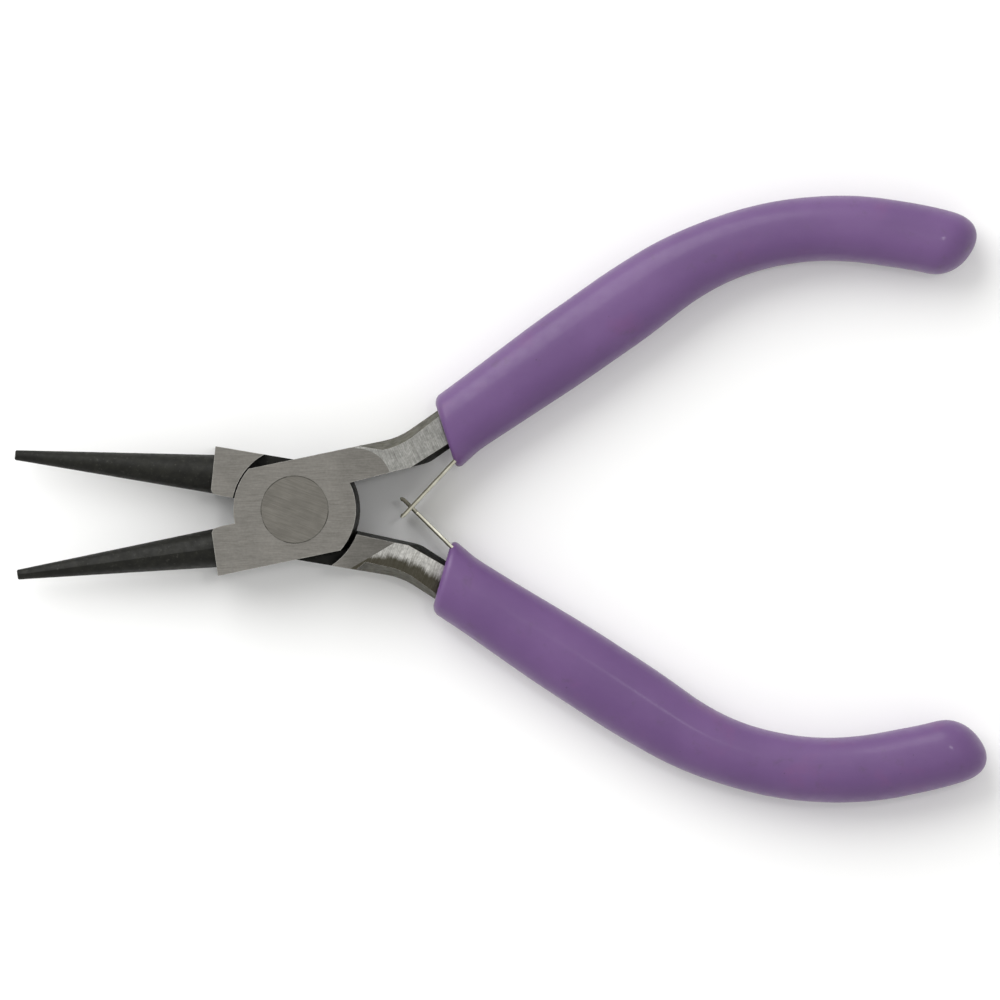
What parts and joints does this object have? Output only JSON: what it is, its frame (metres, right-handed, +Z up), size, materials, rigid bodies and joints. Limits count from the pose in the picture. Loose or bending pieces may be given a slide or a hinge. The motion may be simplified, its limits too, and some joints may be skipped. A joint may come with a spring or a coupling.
{
  "type": "round nose pliers",
  "caption": "Small jewellery pliers with tapered round jaws, a riveted lap joint, sprung bowed handles and dipped vinyl grips.",
  "frame": {"origin": "on the pivot axis, in the plane of the joint's back face, which the pliers lie on", "axes": "+X towards the handles along the line between the two halves, -X towards the jaws; +Z up along the pivot rivet; +Y towards the front half's handle"},
  "size_m": [0.1207, 0.0758, 0.0085],
  "materials": {
    "steel_front": "ground flats, black oxide on jaws and forged walls",
    "steel_rear": "ground flats, black oxide on jaws and forged walls",
    "rivet_steel": "ground flush, diagonal grain",
    "grip_vinyl": "soft satin vinyl, purple",
    "spring_steel": "rolled spring steel strip",
    "spring_rivet_steel": "plain"
  },
  "bodies": {
    "front_half": {"front_half": "steel_front", "pivot_rivet": "rivet_steel", "front_grip": "grip_vinyl", "front_spring_rivet": "spring_rivet_steel"},
    "rear_half": {"rear_half": "steel_rear", "rear_grip": "grip_vinyl", "rear_spring_rivet": "spring_rivet_steel"},
    "front_leaf": {"front_leaf_spring": "spring_steel"},
    "rear_leaf": {"rear_leaf_spring": "spring_steel"}
  },
  "joints": [
    {"name": "pivot", "type": "hinge", "parent": "front_half", "child": "rear_half", "pos_m": [0, 0, 0.00425], "axis": [0, 0, 1], "range_deg": [0, 22], "stiffness_Nm_per_rad": 0.8},
    {"name": "front_leaf_flex", "type": "hinge", "parent": "front_half", "child": "front_leaf", "pos_m": [0.02322, 0.00894, 0.00425], "axis": [0, 0, 1], "range_deg": [-15, 0], "deforming": ["front_leaf_spring"]},
    {"name": "rear_leaf_flex", "type": "hinge", "parent": "rear_half", "child": "rear_leaf", "pos_m": [0.02322, -0.00894, 0.00425], "axis": [0, 0, 1], "range_deg": [0, 15], "deforming": ["rear_leaf_spring"]}
  ],
  "couplings": [
    {"joint": "front_leaf_flex", "follows": "pivot", "ratio": -0.659},
    {"joint": "rear_leaf_flex", "follows": "pivot", "ratio": 0.659}
  ]
}
